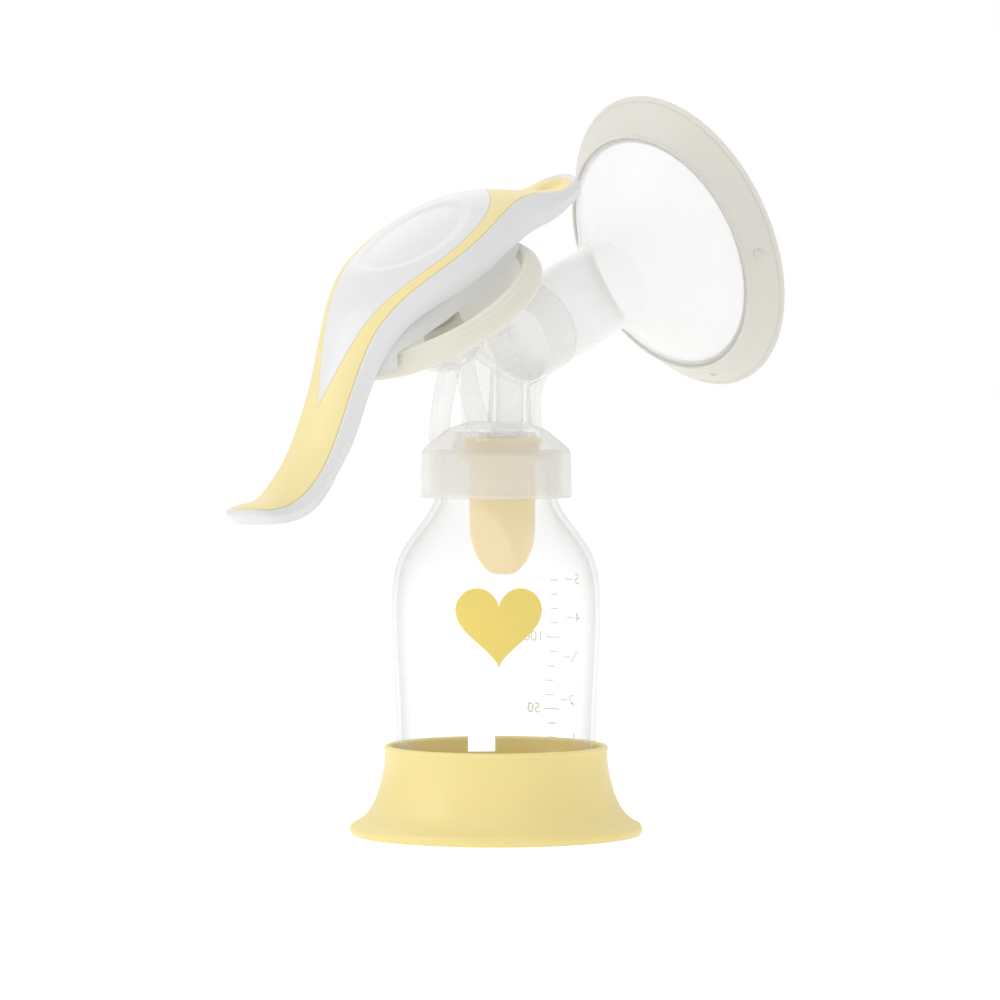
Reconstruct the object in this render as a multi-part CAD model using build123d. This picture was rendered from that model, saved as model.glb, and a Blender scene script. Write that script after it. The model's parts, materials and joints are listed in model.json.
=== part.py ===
from build123d import *

import math
import os

# ---------------------------------------------------------------- driving dimensions (mm, degrees)
# Stand: a flared ring foot with a cup that the bottle drops into.
STAND_FOOT_R = 41.3
STAND_TOP_R = 31.4
STAND_HEIGHT = 25.0
STAND_BORE_R = 29.8
STAND_WALL = 1.6
STAND_FLOOR = 1.8
STAND_NOTCH_WIDTH = 8.0
STAND_NOTCH_DEPTH = 4.5
STAND_NOTCH_ANGLE = 53.0

# Bottle: 150 ml class, standard neck.
BOTTLE_BASE_Z = 2.1
BOTTLE_FOOT_R = 28.2
BOTTLE_BULGE_R = 29.6
BOTTLE_BULGE_Z = 62.0
BOTTLE_WALL = 1.5
NECK_R = 17.4
NECK_BORE_R = 15.6
NECK_START_Z = 94.0
NECK_TOP_Z = 108.0
NECK_RIB_R = 18.4
NECK_RIB_ZS = (98.6, 102.4, 106.0)

# Connector: screw cap, milk duct, port for the shield and bowl for the diaphragm in one moulding.
CAP_R = 21.4
CAP_BORE_R = 18.7
CAP_BOTTOM_Z = 95.0
CAP_SHOULDER_Z = 107.5
CAP_TOP_Z = 116.2
CAP_TOP_R = 8.0
CAP_LEDGE_R = 13.0
VALVE_X = 2.5
SPIGOT_R = 7.0
SPIGOT_BORE_R = 4.4
DUCT_X = 5.5
DUCT_FOOT_R = 6.4
DUCT_TOP_R = 5.2
DUCT_BORE_R = 3.8

# Port and shield share one axis, tilted up towards +X.
TUNNEL_TILT = 23.0
SEAM_X = 18.2
SEAM_Z = 143.4
PORT_R = 13.2
PORT_DEPTH = 13.0
PASSAGE_R = 6.4
PASSAGE_BORE_R = 4.6
PASSAGE_DEPTH = 19.0
PASSAGE_RISE = 26.0
PASSAGE_REACH = 14.0
TUNNEL_BORE_R = 12.0
TUNNEL_R = 13.0
SPIGOT_OUT_R = 12.25
PORT_BORE_R = 12.3
SHIELD_WALL = 1.6
CONE_START = 31.0
CONE_SWELL = 1.15
MOUTH_DEPTH = 53.8
CONE_HALF_HEIGHT = 35.9
CONE_HALF_WIDTH = 31.8
RIM_DEPTH = 8.5
RIM_HALF_HEIGHT = 44.5
RIM_HALF_WIDTH = 37.3
RIM_THICKNESS = 2.6

# Diaphragm: its axis leans away from the shield. The handle is built in the same frame.
RING_TILT = 34.0
RING_X = -23.5
RING_Z = 146.3
RING_R = 32.3
LIP_R = 29.3
LIP_H = 6.2
BOWL_R = 29.8
BOWL_WALL = 1.8
BOWL_TOP_H = 4.0
CHAMBER_R = 9.6
CHAMBER_DEPTH = 14.4
STEM_R = 3.0
STEM_FOOT_R = 6.8
STEM_FOOT_H = -9.0
PIN_R = 2.2
PIN_LENGTH = 15.0
PIN_H = 4.5

# Handle, drawn in the ring's frame: position along it, underside, upper edge, half width, crown.
HANDLE_STATIONS = (
    (-92.7, -5.8, -1.9, 5.0, 0.8),
    (-90.0, -7.4, -3.0, 7.4, 1.6),
    (-82.0, -12.0, -7.0, 8.0, 2.2),
    (-72.0, -13.5, -7.5, 9.0, 2.6),
    (-62.0, -10.5, -4.5, 9.0, 2.8),
    (-52.0, -6.5, 1.0, 9.0, 3.2),
    (-42.0, 0.0, 7.5, 9.5, 3.8),
    (-32.0, 6.5, 14.0, 11.2, 4.2),
    (-20.0, 11.0, 18.5, 15.5, 4.4),
    (-6.0, 11.0, 20.0, 21.0, 4.4),
    (8.0, 10.5, 20.0, 22.6, 4.3),
    (20.0, 9.5, 19.5, 20.6, 3.9),
    (32.0, 8.2, 17.5, 17.4, 2.9),
    (42.0, 4.8, 12.6, 14.3, 1.6),
    (51.0, 2.2, 7.4, 11.0, 0.8),
    (58.0, 0.6, 5.0, 8.4, 0.6),
    (62.5, -0.2, 4.6, 6.6, 0.6),
    (65.0, 0.3, 4.4, 3.8, 0.5),
)
POCKET_FIRST = 8
POCKET_LAST = 13
PETAL = (
    (-51.5, 0.0),
    (-40.0, 4.2),
    (-25.0, 9.8),
    (-5.0, 17.7),
    (6.0, 18.8),
    (16.0, 17.0),
    (27.0, 10.5),
    (35.5, 0.0),
)
HANDLE_WALL = 2.4
DISH_E = 4.3
DISH_R = 16.0
DISH_DEPTH = 0.7

# Skirt under the handle: it flares out below the shell and rests on the diaphragm's lip.
SKIRT_TOP_PLAN = (
    (-36.0, 0.0),
    (-33.0, 6.0),
    (-20.0, 12.6),
    (-6.0, 18.0),
    (8.0, 19.6),
    (20.0, 17.4),
    (28.0, 11.5),
    (32.0, 0.0),
)
SKIRT_FOOT_PLAN = (
    (-38.0, 0.0),
    (-35.0, 9.5),
    (-22.0, 17.6),
    (-8.0, 20.0),
    (8.0, 20.6),
    (20.0, 19.4),
    (28.0, 13.0),
    (31.5, 0.0),
)
SKIRT_FOOT_H = 3.6
SKIRT_TOP_H = 11.0
SKIRT_WALL = 2.0
SKIRT_LIFT = 0.35
BRIDGE_H = 9.4
CLIP_HALF_LENGTH = 6.5

CLEARANCE = 0.3

RING_FRAME = Plane(
    origin=(RING_X, 0, RING_Z),
    x_dir=(math.cos(math.radians(RING_TILT)), 0, math.sin(math.radians(RING_TILT))),
    z_dir=(-math.sin(math.radians(RING_TILT)), 0, math.cos(math.radians(RING_TILT))),
).location
PORT_FRAME = Plane(
    origin=(SEAM_X, 0, SEAM_Z),
    x_dir=(0, 1, 0),
    z_dir=(math.cos(math.radians(TUNNEL_TILT)), 0, math.sin(math.radians(TUNNEL_TILT))),
).location


# ---------------------------------------------------------------- helpers
def rod(radius, start, end):
    """A cylinder along Z from start to end."""
    return Pos(0, 0, start) * Cylinder(radius, end - start, align=(Align.CENTER, Align.CENTER, Align.MIN))


def cone(foot_radius, top_radius, start, end):
    """A truncated cone along Z from start to end."""
    solid = Cone(foot_radius, top_radius, end - start, align=(Align.CENTER, Align.CENTER, Align.MIN))
    return Pos(0, 0, start) * solid


def spun(*edges):
    """The solid of revolution about Z of a closed outline drawn in the XZ plane."""
    return revolve(make_face(Curve() + list(edges)), Axis.Z)


def polygon_spun(points):
    """The solid of revolution about Z of a polygon of (radius, z) points."""
    outline = [(r, 0, z) for r, z in points]
    return spun(Polyline(*outline, close=True))


def write(name, solid):
    """Save one node."""
    export_step(solid, os.path.join("parts", name + ".step"))


# ---------------------------------------------------------------- stand and bottle
def make_stand():
    flare = Spline(
        (STAND_FOOT_R - 1.2, 0, 3.0),
        (33.2, 0, 12.4),
        (STAND_TOP_R, 0, STAND_HEIGHT - 1.5),
        tangents=[(-1, 0, 0.45), (0, 0, 1)],
    )
    lip = ThreePointArc(
        flare @ 1,
        (STAND_TOP_R - 0.8, 0, STAND_HEIGHT),
        (STAND_BORE_R, 0, STAND_HEIGHT - 1.0),
    )
    cup = Polyline(
        lip @ 1,
        (STAND_BORE_R, 0, STAND_FLOOR),
        (0, 0, STAND_FLOOR),
        (0, 0, 0),
        (STAND_BORE_R + STAND_WALL, 0, 0),
        (STAND_BORE_R + STAND_WALL, 0, 9.0),
    )
    under = Spline(cup @ 1, (STAND_FOOT_R - 2.6, 0, 1.6), tangents=[(0.5, 0, -1), (1, 0, -0.4)])
    edge = Polyline(under @ 1, (STAND_FOOT_R - 2.4, 0, 0), (STAND_FOOT_R - 0.5, 0, 0))
    foot = ThreePointArc(edge @ 1, (STAND_FOOT_R, 0, 1.3), flare @ 0)
    stand = spun(flare, lip, cup, under, edge, foot)
    notch = Pos(STAND_BORE_R + 1, 0, STAND_HEIGHT) * Box(6, STAND_NOTCH_WIDTH, 2 * STAND_NOTCH_DEPTH)
    return stand - Rot(0, 0, STAND_NOTCH_ANGLE) * notch


def bottle_outline(inset):
    """Closed outline of the bottle, moved in by a wall's thickness for its inside."""
    foot_r = BOTTLE_FOOT_R - inset
    base_z = BOTTLE_BASE_Z + inset
    corner = 5.0 - 0.6 * inset
    neck_r = NECK_BORE_R if inset else NECK_R
    top_z = NECK_TOP_Z + inset
    floor = Line((0, 0, base_z), (foot_r - corner, 0, base_z))
    middle = corner * (1 - math.sqrt(0.5))
    turn = ThreePointArc(floor @ 1, (foot_r - middle, 0, base_z + middle), (foot_r, 0, base_z + corner))
    body = Spline(
        turn @ 1,
        (foot_r + 0.2, 0, 34.0),
        (BOTTLE_BULGE_R - inset, 0, BOTTLE_BULGE_Z),
        (26.5 - inset, 0, 80.0 - 0.4 * inset),
        (neck_r, 0, NECK_START_Z - 0.4 * inset),
        tangents=[(0, 0, 1), (-0.35, 0, 1)],
    )
    neck = Polyline(body @ 1, (neck_r, 0, top_z), (0, 0, top_z), (0, 0, base_z))
    return spun(floor, turn, body, neck)


def make_bottle():
    bottle = bottle_outline(0)
    for z in NECK_RIB_ZS:
        bottle += cone(NECK_RIB_R, NECK_R, z, z + 0.9) + cone(NECK_R, NECK_RIB_R, z - 0.9, z)
    return bottle - bottle_outline(BOTTLE_WALL)


# ---------------------------------------------------------------- connector and valve
def make_cap():
    cap = polygon_spun([
        (0, CAP_BOTTOM_Z),
        (CAP_R, CAP_BOTTOM_Z),
        (CAP_R - 0.3, CAP_SHOULDER_Z),
        (CAP_R - 1.1, CAP_SHOULDER_Z + 1.3),
        (14.5, CAP_TOP_Z - 2.5),
        (13.2, CAP_TOP_Z - 1.8),
        (10.6, CAP_TOP_Z - 0.9),
        (CAP_TOP_R, CAP_TOP_Z),
        (0, CAP_TOP_Z),
    ])
    cap -= rod(CAP_BORE_R, CAP_BOTTOM_Z - 1, NECK_TOP_Z)
    cap -= cone(CAP_LEDGE_R, CAP_LEDGE_R - 2.0, NECK_TOP_Z - 1, CAP_TOP_Z - 3)
    return cap


def make_connector():
    # Bowl under the diaphragm, with the chamber that the stem works in.
    bowl = polygon_spun([
        (0, -CHAMBER_DEPTH),
        (CHAMBER_R - 2, -CHAMBER_DEPTH),
        (CHAMBER_R, -CHAMBER_DEPTH + 2),
        (CHAMBER_R + 0.7, -10.0),
        (20.0, -5.0),
        (BOWL_R, -0.4),
        (BOWL_R, BOWL_TOP_H),
        (0, BOWL_TOP_H),
    ])
    bowl_inside = polygon_spun([
        (0, -CHAMBER_DEPTH + BOWL_WALL),
        (CHAMBER_R - BOWL_WALL, -CHAMBER_DEPTH + BOWL_WALL),
        (CHAMBER_R - BOWL_WALL + 0.9, -8.9),
        (19.0, -3.6),
        (BOWL_R - BOWL_WALL, 0.6),
        (BOWL_R - BOWL_WALL, BOWL_TOP_H + 1),
        (0, BOWL_TOP_H + 1),
    ])
    # Port, with a narrower passage that bends up to the chamber.
    port = rod(PORT_R, -PORT_DEPTH, 0) + cone(PASSAGE_R, PORT_R, -PORT_DEPTH - 5, -PORT_DEPTH)
    passage = rod(PASSAGE_R, -PASSAGE_DEPTH, -PORT_DEPTH - 1)
    port_inside = rod(PORT_BORE_R, -PORT_DEPTH + 1.6, 1) + rod(PASSAGE_BORE_R, -PASSAGE_DEPTH, -PORT_DEPTH + 2)
    bend = PORT_FRAME * Pos(0, 0, -PASSAGE_DEPTH + 1.5)
    turned = Pos(bend.position) * Rot(0, -90 + PASSAGE_RISE, 0)
    elbow = turned * (rod(PASSAGE_R, 0, PASSAGE_REACH) + Sphere(PASSAGE_R))
    elbow_inside = turned * (rod(PASSAGE_BORE_R, 0, PASSAGE_REACH + 2.5) + Sphere(PASSAGE_BORE_R))
    # Milk duct down to the valve.
    duct = Pos(DUCT_X, 0, 0) * cone(DUCT_FOOT_R, DUCT_TOP_R, CAP_TOP_Z - 2.9, 135)
    duct_inside = Pos(DUCT_X, 0, 0) * rod(DUCT_BORE_R, CAP_TOP_Z - 3.7, 138)
    # Curved web on the shield's side.
    throat = Spline(
        (17.2, 0, 112.0),
        (16.1, 0, 118.6),
        (16.7, 0, 125.0),
        (19.6, 0, 129.8),
        (22.3, 0, 131.4),
        tangents=[(-0.25, 0, 1), (1, 0, 0.4)],
    )
    web_outline = Polyline(throat @ 1, (16.0, 0, 133.5), (8.0, 0, 131.0), (8.0, 0, 112.0), throat @ 0)
    web = extrude(make_face(Curve() + [throat, web_outline]), 1.1, dir=(0, 1, 0), both=True)
    inner_throat = Spline(
        (14.8, 0, 112.0),
        (13.8, 0, 118.6),
        (14.4, 0, 126.0),
        (17.6, 0, 132.8),
        tangents=[(-0.25, 0, 1), (1, 0, 0.8)],
    )
    edge_outline = [Line(throat @ 1, inner_throat @ 1), Line(inner_throat @ 0, throat @ 0)]
    edge = extrude(make_face(Curve() + [throat, inner_throat] + edge_outline), 2.0, dir=(0, 1, 0), both=True)
    # Two legs from the cap to the bowl, closing together as they rise.
    legs = Part()
    for side in (-1, 1):
        spine = Spline((-13.4, side * 9.4, 111.0), (-15.2, side * 6.0, 122.0), (-14.8, side * 1.6, 135.6))
        section = Plane(origin=spine @ 0, z_dir=spine % 0) * RectangleRounded(5.0, 4.6, 1.2)
        legs += sweep(section, path=spine)
    rib = Pos(-6.5, 0, 124.3) * Box(13, 1.6, 21)
    spigot = Pos(VALVE_X, 0, 0) * rod(SPIGOT_R, 98.0, CAP_TOP_Z - 1.7)
    spigot_inside = Pos(VALVE_X, 0, 0) * rod(SPIGOT_BORE_R, 97, CAP_TOP_Z - 2.9)
    bridge = Pos(0.5 * (VALVE_X + DUCT_X), 0, 0) * rod(DUCT_BORE_R, CAP_TOP_Z - 4.7, CAP_TOP_Z - 1.7)

    solid = make_cap() + spigot + duct + web + edge + legs + rib
    solid += PORT_FRAME * (port + passage) + elbow
    solid += RING_FRAME * bowl
    solid -= RING_FRAME * bowl_inside
    solid -= PORT_FRAME * port_inside
    solid -= elbow_inside
    solid -= duct_inside
    solid -= spigot_inside
    solid -= bridge
    return solid


def make_valve():
    # Collar over the spigot, then a soft wedge with two slanting faces that meet in a slit.
    collar = rod(9.3, 96.0, 107.6) + rod(10.2, 105.8, 107.6)
    tube = rod(9.3, 73.5, 97)
    facet_left = Pos(-12.2, 0, 73) * Rot(0, 24, 0) * Box(14, 30, 26)
    facet_right = Pos(12.6, 0, 73) * Rot(0, -20, 0) * Box(14, 30, 26)
    end = Pos(0, 0, 84.5) * Sphere(11.5)
    tube &= rod(9.3, 82, 97) + end
    tube -= facet_left
    tube -= facet_right
    bore = rod(SPIGOT_R + 0.05, 97.6, 109)
    throat = cone(1.2, 7.4, 78.5, 92) + rod(7.4, 91.9, 97.7)
    slit = Pos(0, 0, 76) * Box(0.5, 12, 8)
    return Pos(VALVE_X, 0, 0) * (collar + tube - bore - throat - slit)


# ---------------------------------------------------------------- breast shield
def oval(half_height, half_width, depth):
    """An oval section of the shield: its height lies in the object's middle plane."""
    plane = Plane(origin=(0, 0, depth), x_dir=(1, 0, 0), z_dir=(0, 0, 1))
    return plane * Ellipse(half_width, half_height)


def cone_section(fraction, inset):
    """One oval of the bell-shaped funnel, from its throat (0) to its mouth (1)."""
    swell = fraction ** CONE_SWELL
    half_height = TUNNEL_R + (CONE_HALF_HEIGHT - TUNNEL_R) * swell - inset
    half_width = TUNNEL_R + (CONE_HALF_WIDTH - TUNNEL_R) * swell - inset
    return oval(half_height, half_width, CONE_START + (MOUTH_DEPTH - CONE_START) * fraction)


def make_shield():
    steps = (0, 0.1, 0.3, 0.6, 1.0)
    outside = loft([cone_section(step, 0) for step in steps])
    inside = loft([cone_section(step, SHIELD_WALL) for step in steps])
    spigot = rod(SPIGOT_OUT_R, -PORT_DEPTH + 2.2, 0.5)
    shield = outside + rod(TUNNEL_R, CLEARANCE, CONE_START + 0.5) + spigot
    shield -= inside
    shield -= rod(TUNNEL_BORE_R, -PORT_DEPTH, CONE_START + 1.5)
    return PORT_FRAME * shield


def rim_loft(grow, start, end):
    """A loft from the funnel's mouth to the rim, grown outwards, between two depths."""
    root = oval(CONE_HALF_HEIGHT + grow, CONE_HALF_WIDTH + grow, start)
    lip = oval(RIM_HALF_HEIGHT + grow, RIM_HALF_WIDTH + grow, end)
    return loft([root, lip])


def make_soft_rim():
    # A soft flange moulded round the funnel's mouth, with a small moulding nub on its back.
    base = MOUTH_DEPTH
    top = base + RIM_DEPTH
    mouth = oval(CONE_HALF_HEIGHT - SHIELD_WALL, CONE_HALF_WIDTH - SHIELD_WALL, base - 5)
    rim = rim_loft(RIM_THICKNESS - SHIELD_WALL, base - 1.2, top)
    rim -= rim_loft(-SHIELD_WALL, base, top + 0.01)
    rim -= extrude(mouth, 5.01, dir=(0, 0, 1))
    nub = Pos(-RIM_HALF_WIDTH + 3.2, -2.0, base + 3.6) * Sphere(1.6)
    return PORT_FRAME * (rim + nub) - make_shield()


# ---------------------------------------------------------------- diaphragm and stem
def make_diaphragm():
    # A bead that grips the bowl's edge, a raised lip, and a thin web that dips to a hub on the stem.
    diaphragm = polygon_spun([
        (BOWL_R + 0.05, -0.6),
        (RING_R - 0.7, -0.6),
        (RING_R, 0.6),
        (RING_R, 2.6),
        (RING_R - 0.7, 4.0),
        (LIP_R + 0.7, LIP_H - 0.3),
        (LIP_R + 0.1, LIP_H),
        (LIP_R - 0.7, LIP_H),
        (27.6, 4.6),
        (26.5, 2.6),
        (22.0, -0.6),
        (14.0, -4.8),
        (9.0, -7.1),
        (6.0, -7.4),
        (6.0, -2.0),
        (STEM_R + 0.3, -2.0),
        (STEM_R + 0.3, -8.6),
        (6.5, -8.6),
        (9.0, -8.3),
        (14.0, -5.9),
        (22.6, -1.6),
        (BOWL_R - BOWL_WALL - 0.1, 3.2),
        (BOWL_R - BOWL_WALL - 0.1, BOWL_TOP_H + 0.4),
        (BOWL_R + 0.05, BOWL_TOP_H + 0.4),
    ])
    tab = Pos(RING_R - 0.2, 0, 2.6) * Sphere(1.9)
    return RING_FRAME * (diaphragm + tab)


def make_stem():
    stem = rod(STEM_FOOT_R, STEM_FOOT_H - 2.4, STEM_FOOT_H) + rod(STEM_R, STEM_FOOT_H - 1, PIN_H)
    stem += rod(STEM_R + 1.2, -1.8, -0.6)
    stem -= Pos(0, 0, STEM_FOOT_H + 3.0) * (rod(STEM_R + 1, -0.6, 0.6) - rod(STEM_R - 0.8, -0.6, 0.6))
    stem += Pos(0, 0, PIN_H) * Rot(90, 0, 0) * Cylinder(PIN_R, PIN_LENGTH)
    return RING_FRAME * stem


def make_stem_seal():
    seal = Pos(0, 0, STEM_FOOT_H + 3.0) * Torus(STEM_R - 0.25, 0.5)
    return RING_FRAME * seal


# ---------------------------------------------------------------- handle
def handle_loft(first, last, corners):
    """A loft through the handle's stations; corners turns a station into its (y, z) outline."""
    sections = []
    for station in HANDLE_STATIONS[first:last]:
        plane = Plane(origin=(station[0], 0, 0), x_dir=(0, 1, 0), z_dir=(1, 0, 0))
        sections.append(plane * corners(*station[1:]))
    return loft(sections)


def shell_section(low, high, half_width, crown):
    rise = min(2.6, 0.5 * (high - low))
    return make_face(Polyline(
        (-half_width + 1.6, low),
        (half_width - 1.6, low),
        (half_width, low + rise),
        (half_width, high),
        (-half_width, high),
        (-half_width, low + rise),
        close=True,
    ))


def pocket_section(low, high, half_width, crown):
    inner = half_width - HANDLE_WALL
    return make_face(Polyline((-inner, low - 4), (inner, low - 4), (inner, high + 1), (-inner, high + 1), close=True))


def crown_section(low, high, half_width, crown):
    reach = half_width - 0.8
    base = Line((-reach, high), (reach, high))
    top = ThreePointArc((reach, high), (0, high + crown), (-reach, high))
    return make_face(Curve() + [base, top])


def plan_face(outline, grow, height):
    """A level face, mirrored in Y, from the (e, half width) points of its plan, grown outwards."""
    points = [(e, w + grow) for e, w in outline[1:-1]]
    points = [(outline[0][0] - grow, 0.0)] + points + [(outline[-1][0] + grow, 0.0)]
    near = Spline(*points)
    return Pos(0, 0, height) * make_face(Curve() + [near, mirror(near, Plane.XZ)])


def plan_prism(outline, grow, low, high):
    """An upright prism on a plan."""
    return extrude(plan_face(outline, grow, low), high - low, dir=(0, 0, 1))


def skirt_flare(grow, low, high):
    """The skirt's outside between its foot plan and its top plan, cut to two heights."""
    flare = loft([plan_face(SKIRT_FOOT_PLAN, grow, SKIRT_FOOT_H), plan_face(SKIRT_TOP_PLAN, grow, SKIRT_TOP_H)])
    return flare & Pos(0, 0, 0.5 * (low + high)) * Box(120, 80, high - low)


def handle_pieces():
    count = len(HANDLE_STATIONS)
    crown = handle_loft(0, count, crown_section)
    shell = handle_loft(0, count, shell_section) - crown
    shell -= handle_loft(POCKET_FIRST, POCKET_LAST, pocket_section)
    cover = crown & plan_prism(PETAL, 0, -5, 35)
    cover -= Pos(DISH_E, 0, 24.4 - DISH_DEPTH) * Rot(0, 1, 0) * rod(DISH_R, 0, 5)
    grip = crown - plan_prism(PETAL, 0.12, -5, 35)
    return shell, cover, grip


def make_skirt(shell):
    # A hollow skirt under the shell, with a bridge and two ears that hold the stem's cross pin.
    skirt = skirt_flare(0, SKIRT_FOOT_H, SKIRT_TOP_H) - skirt_flare(-SKIRT_WALL, 0, BRIDGE_H)
    # Its lower edge follows the top of the diaphragm's lip and bead.
    skirt -= polygon_spun([
        (0, 0),
        (RING_R + 1.7, 0),
        (RING_R + 1.7, LIP_H - 2.8),
        (LIP_R + 2.0, LIP_H),
        (LIP_R + 1.0, LIP_H + SKIRT_LIFT),
        (0, LIP_H + SKIRT_LIFT),
    ])
    skirt -= shell
    for side in (-1, 1):
        skirt += Pos(0, side * 5.6, 6.2) * Box(2 * CLIP_HALF_LENGTH, 2.4, 8.0)
    slot = Pos(0.9, 0, PIN_H) * Rot(90, 0, 0) * extrude(SlotCenterToCenter(2.4, 2 * (PIN_R + 0.25)), 10, both=True)
    return skirt - slot


def main():
    os.makedirs("parts", exist_ok=True)
    write("stand", make_stand())
    write("bottle", make_bottle())
    write("connector", make_connector())
    write("valve", make_valve())
    write("breast_shield", make_shield())
    write("soft_rim", make_soft_rim())
    write("diaphragm", make_diaphragm())
    write("stem", make_stem())
    write("stem_seal", make_stem_seal())
    shell, cover, grip = handle_pieces()
    write("handle_shell", RING_FRAME * shell)
    write("handle_top_cover", RING_FRAME * cover)
    write("handle_grip", RING_FRAME * grip)
    write("handle_skirt", RING_FRAME * make_skirt(shell))


main()
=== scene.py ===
import json
import math

import bmesh
import bpy
import numpy as np
from mathutils import Matrix, Vector


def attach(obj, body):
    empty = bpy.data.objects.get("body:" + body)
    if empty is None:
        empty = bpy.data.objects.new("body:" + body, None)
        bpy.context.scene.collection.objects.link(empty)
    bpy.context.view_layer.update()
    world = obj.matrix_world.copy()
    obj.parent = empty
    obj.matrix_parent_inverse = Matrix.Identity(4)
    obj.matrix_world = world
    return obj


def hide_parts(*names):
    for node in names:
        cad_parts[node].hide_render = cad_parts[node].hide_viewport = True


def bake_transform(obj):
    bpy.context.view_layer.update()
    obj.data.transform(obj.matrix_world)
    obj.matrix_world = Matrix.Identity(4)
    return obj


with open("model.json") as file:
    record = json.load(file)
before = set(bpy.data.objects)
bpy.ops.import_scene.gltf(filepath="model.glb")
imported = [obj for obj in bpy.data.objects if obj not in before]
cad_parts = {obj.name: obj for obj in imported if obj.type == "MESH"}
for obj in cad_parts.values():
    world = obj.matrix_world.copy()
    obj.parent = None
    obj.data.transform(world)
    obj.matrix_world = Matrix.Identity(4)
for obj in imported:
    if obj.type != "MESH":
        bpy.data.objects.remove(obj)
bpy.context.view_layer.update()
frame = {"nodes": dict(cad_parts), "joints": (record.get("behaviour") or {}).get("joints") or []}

MM = 0.001


# ---------------------------------------------------------------- places taken from the frame
def joint(name):
    return next(j for j in frame["joints"] if j["name"] == name)


def axis_frame(x_axis, z_axis, origin):
    """Millimetres in a tilted frame to metres in the row frame."""
    x_axis, z_axis = Vector(x_axis).normalized(), Vector(z_axis).normalized()
    y_axis = z_axis.cross(x_axis)
    matrix = Matrix((x_axis, y_axis, z_axis)).transposed().to_4x4()
    matrix.translation = Vector(origin)
    return matrix @ Matrix.Scale(MM, 4)


SWIVEL = joint("handle_swivel")
TURN = joint("shield_turn")
RING_AXIS = Vector(SWIVEL["axis"])
RING_FRAME = axis_frame(Vector((0, 1, 0)).cross(RING_AXIS), RING_AXIS, SWIVEL["pos_m"])
PORT_FRAME = axis_frame((0, 1, 0), TURN["axis"], TURN["pos_m"])
ROW_FRAME = Matrix.Scale(MM, 4)


# ---------------------------------------------------------------- camera, light and floor
CAMERA_AZIMUTH = math.radians(-45.0)
CAMERA_DISTANCE = 1.465
CAMERA_HEIGHT = 0.1456
CAMERA_TARGET_HEIGHT = 0.0941
CAMERA_TARGET_SIDE = 0.0011
CAMERA_LENS = 187.2
SENSOR_WIDTH = 36.0
NEAREST_SEEN = 0.05
FARTHEST_SEEN = 20.0
SURROUND_LIGHT = 0.78
FLOOR_GLOW = 0.34
FLOOR_SIZE = 12
FLOOR_WHITE = 0.86
LIGHT_TARGET = (0, 0, 0.1)
# Square lights: name, azimuth measured as the camera's is, height, distance, size, power.
LIGHTS = (
    ("key_light", -115, 0.75, 1.1, 0.8, 3.4),
    ("top_light", -60, 1.5, 0.5, 0.9, 1.6),
    ("back_light", 140, 0.9, 1.1, 0.9, 1.5),
)
TRANSPARENT_BOUNCES = 40
LIGHT_BOUNCES = 16


def make_camera():
    back = Vector((math.sin(CAMERA_AZIMUTH), -math.cos(CAMERA_AZIMUTH), 0))
    right = Vector((math.cos(CAMERA_AZIMUTH), math.sin(CAMERA_AZIMUTH), 0))
    camera = bpy.data.objects.new("camera", bpy.data.cameras.new("camera"))
    bpy.context.collection.objects.link(camera)
    camera.location = back * CAMERA_DISTANCE + Vector((0, 0, CAMERA_HEIGHT))
    target = right * CAMERA_TARGET_SIDE + Vector((0, 0, CAMERA_TARGET_HEIGHT))
    camera.rotation_euler = (target - camera.location).to_track_quat("-Z", "Y").to_euler()
    camera.data.lens = CAMERA_LENS
    camera.data.sensor_width = SENSOR_WIDTH
    camera.data.clip_start = NEAREST_SEEN
    camera.data.clip_end = FARTHEST_SEEN
    bpy.context.scene.camera = camera


def area_light(name, azimuth, height, distance, size, power):
    angle = math.radians(azimuth)
    light = bpy.data.lights.new(name, "AREA")
    light.shape = "SQUARE"
    light.size = size
    light.energy = power
    lamp = bpy.data.objects.new(name, light)
    bpy.context.collection.objects.link(lamp)
    lamp.location = (distance * math.sin(angle), -distance * math.cos(angle), height)
    aim = Vector(LIGHT_TARGET) - lamp.location
    lamp.rotation_euler = aim.to_track_quat("-Z", "Y").to_euler()


def make_studio():
    """A surround that looks white but lights more softly, three square lights and a white floor."""
    world = bpy.data.worlds.new("studio")
    bpy.context.scene.world = world
    world.use_nodes = True
    nodes, links = world.node_tree.nodes, world.node_tree.links
    ray = nodes.new("ShaderNodeLightPath")
    seen = nodes.new("ShaderNodeMath")
    seen.operation = "MAXIMUM"
    links.new(ray.outputs["Is Camera Ray"], seen.inputs[0])
    links.new(ray.outputs["Is Transmission Ray"], seen.inputs[1])
    power = nodes.new("ShaderNodeMapRange")
    power.inputs["To Min"].default_value = SURROUND_LIGHT
    power.inputs["To Max"].default_value = 1.0
    links.new(seen.outputs["Value"], power.inputs["Value"])
    nodes["Background"].inputs["Color"].default_value = (1, 1, 1, 1)
    links.new(power.outputs["Result"], nodes["Background"].inputs["Strength"])
    for light in LIGHTS:
        area_light(*light)
    bpy.ops.mesh.primitive_plane_add(size=FLOOR_SIZE)
    floor = bpy.context.object
    floor.name = "studio_floor"
    white = plastic("floor_white", (FLOOR_WHITE,) * 3, 0.9, grain=0.0)
    shader = white.node_tree.nodes["Principled BSDF"]
    shader.inputs["Emission Color"].default_value = (1, 1, 1, 1)
    shader.inputs["Emission Strength"].default_value = FLOOR_GLOW
    floor.data.materials.append(white)
    bpy.context.scene.view_settings.view_transform = "Standard"
    bpy.context.scene.cycles.transparent_max_bounces = TRANSPARENT_BOUNCES
    bpy.context.scene.cycles.max_bounces = LIGHT_BOUNCES


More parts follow.
